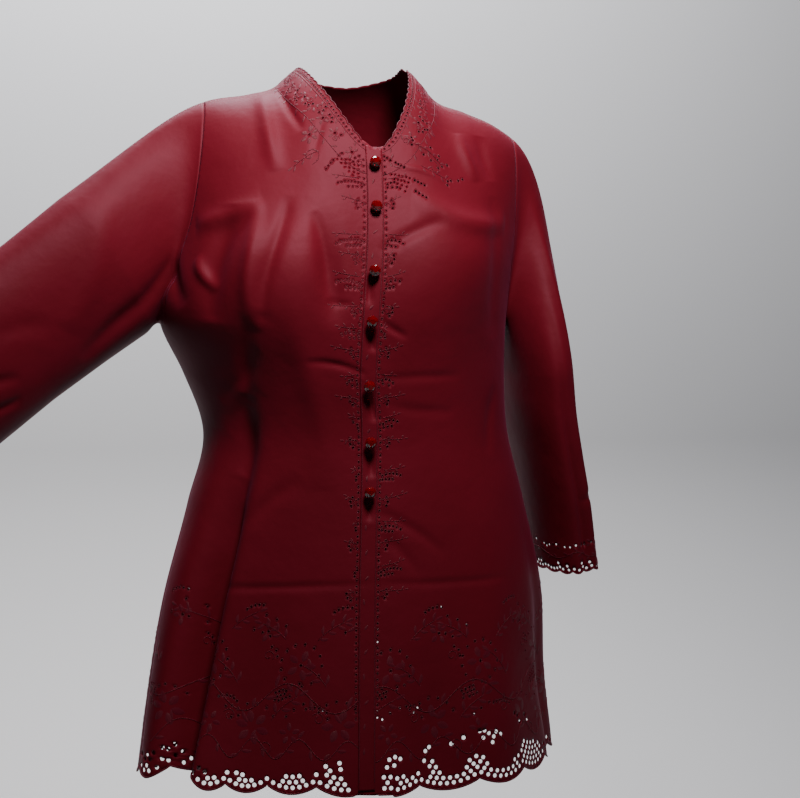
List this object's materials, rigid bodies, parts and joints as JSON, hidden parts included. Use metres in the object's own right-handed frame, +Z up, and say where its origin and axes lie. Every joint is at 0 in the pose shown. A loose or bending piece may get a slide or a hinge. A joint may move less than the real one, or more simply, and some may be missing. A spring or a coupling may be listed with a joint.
{
  "type": "kebaya blouse",
  "caption": "Long-sleeved kebaya blouse, worn shape and hollow, with a V neck, a scalloped cutwork hem and a closed button band.",
  "frame": {"origin": "middle of the neck opening, level with the highest points of the shoulders, where the wearer holds the blouse up", "axes": "+Z up, the front faces -Y, +X to the wearer's left"},
  "size_m": [0.8112, 0.2693, 0.7403],
  "materials": {
    "silk": "soft sheen crepe",
    "button_glass": "polished facets"
  },
  "bodies": {
    "root": {"front_right": "silk", "front_left": "silk", "back": "silk", "placket_band": "silk", "sleeve_right": "silk", "sleeve_left": "silk", "button_1": "button_glass", "button_2": "button_glass", "button_3": "button_glass", "button_4": "button_glass", "button_5": "button_glass", "button_6": "button_glass", "button_7": "button_glass"}
  },
  "joints": []
}
